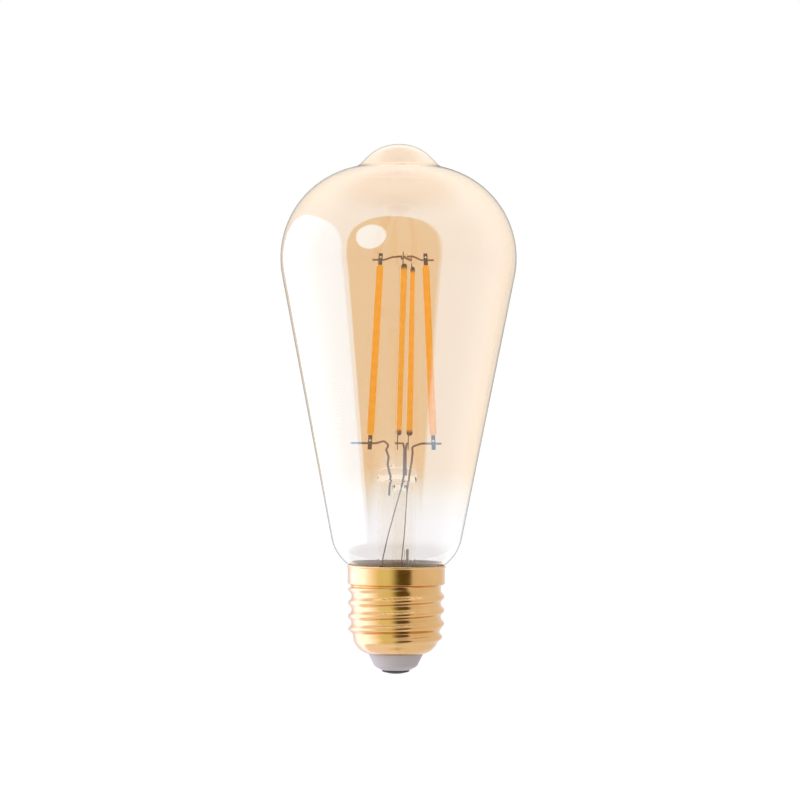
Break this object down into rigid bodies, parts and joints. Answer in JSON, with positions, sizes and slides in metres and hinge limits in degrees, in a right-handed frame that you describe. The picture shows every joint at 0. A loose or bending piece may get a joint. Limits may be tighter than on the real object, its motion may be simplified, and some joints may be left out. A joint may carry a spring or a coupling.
{
  "type": "light bulb",
  "caption": "Pear-shaped filament lamp with an amber-tinted glass envelope, long upright LED filaments on a glass stem, and an Edison screw cap with its driver and radio inside.",
  "frame": {"origin": "on the lamp's axis at the tip of the centre contact, the lowest point of the cap", "axes": "+Z along the lamp's axis from the cap to the top of the glass; the lamp faces -Y, with its left filament at -X"},
  "size_m": [0.064, 0.064, 0.1434],
  "materials": {
    "amber_glass": "thin blown glass with an amber tint that fades to clear near the neck",
    "clear_glass": "clear soda-lime glass",
    "nickel_wire": "dull nickel-plated wire",
    "copper_wire": "thin oxidised copper wire",
    "tab_metal": "stamped thin sheet",
    "strip_carrier": "white sintered strip",
    "led_die": "small dies",
    "phosphor_coat": "orange-yellow silicone with phosphor",
    "cap_brass": "thin rolled brass, polished",
    "insulator_plastic": "smooth pale grey moulding",
    "contact_metal": "dull plated contact",
    "cement": "hard brown capping cement",
    "liner_film": "thin insulating tube",
    "circuit_board": "glass-fibre board with solder mask",
    "can_sleeve": "shrink-sleeved can",
    "ferrite": "sintered ferrite",
    "enamelled_copper": "enamelled winding",
    "film_case": "dipped box",
    "moulded_black": "moulded package",
    "resistor_body": "lacquered resistor",
    "white_sleeve": "heat-resistant sleeving",
    "shield_can": "thin plated cover",
    "white_insulation": "insulated wire",
    "ceramic_chip": "sintered chip",
    "solder": "solder"
  },
  "bodies": {
    "root": {"glass_envelope": "amber_glass", "stem_tube": "clear_glass", "stem_press": "clear_glass", "exhaust_tube": "clear_glass", "stem_rod": "clear_glass", "inner_lead_right": "nickel_wire", "inner_lead_front": "nickel_wire", "lower_support_left": "nickel_wire", "lower_support_back": "nickel_wire", "upper_support_left": "nickel_wire", "upper_support_right": "nickel_wire", "upper_support_front": "nickel_wire", "upper_support_back": "nickel_wire", "outer_lead_right": "copper_wire", "outer_lead_front": "copper_wire", "filament_left_substrate": "strip_carrier", "filament_left_led_chips": "led_die", "filament_left_phosphor": "phosphor_coat", "filament_left_terminals": "tab_metal", "filament_right_substrate": "strip_carrier", "filament_right_led_chips": "led_die", "filament_right_phosphor": "phosphor_coat", "filament_right_terminals": "tab_metal", "filament_front_substrate": "strip_carrier", "filament_front_led_chips": "led_die", "filament_front_phosphor": "phosphor_coat", "filament_front_terminals": "tab_metal", "filament_back_substrate": "strip_carrier", "filament_back_led_chips": "led_die", "filament_back_phosphor": "phosphor_coat", "filament_back_terminals": "tab_metal", "screw_shell": "cap_brass", "cap_insulator": "insulator_plastic", "contact_pin": "contact_metal", "base_cement": "cement", "insulating_liner": "liner_film", "driver_board": "circuit_board", "electrolytic_capacitor": "can_sleeve", "inductor_core": "ferrite", "inductor_winding": "enamelled_copper", "film_capacitor": "film_case", "fusible_resistor": "resistor_body", "resistor_sleeve": "white_sleeve", "live_wire": "copper_wire", "bridge_rectifier": "moulded_black", "driver_ic": "moulded_black", "radio_board": "circuit_board", "radio_chip": "shield_can", "antenna": "white_insulation", "chip_resistors": "moulded_black", "chip_capacitors": "ceramic_chip", "neutral_wire": "copper_wire", "solder_joints": "solder"}
  },
  "joints": []
}
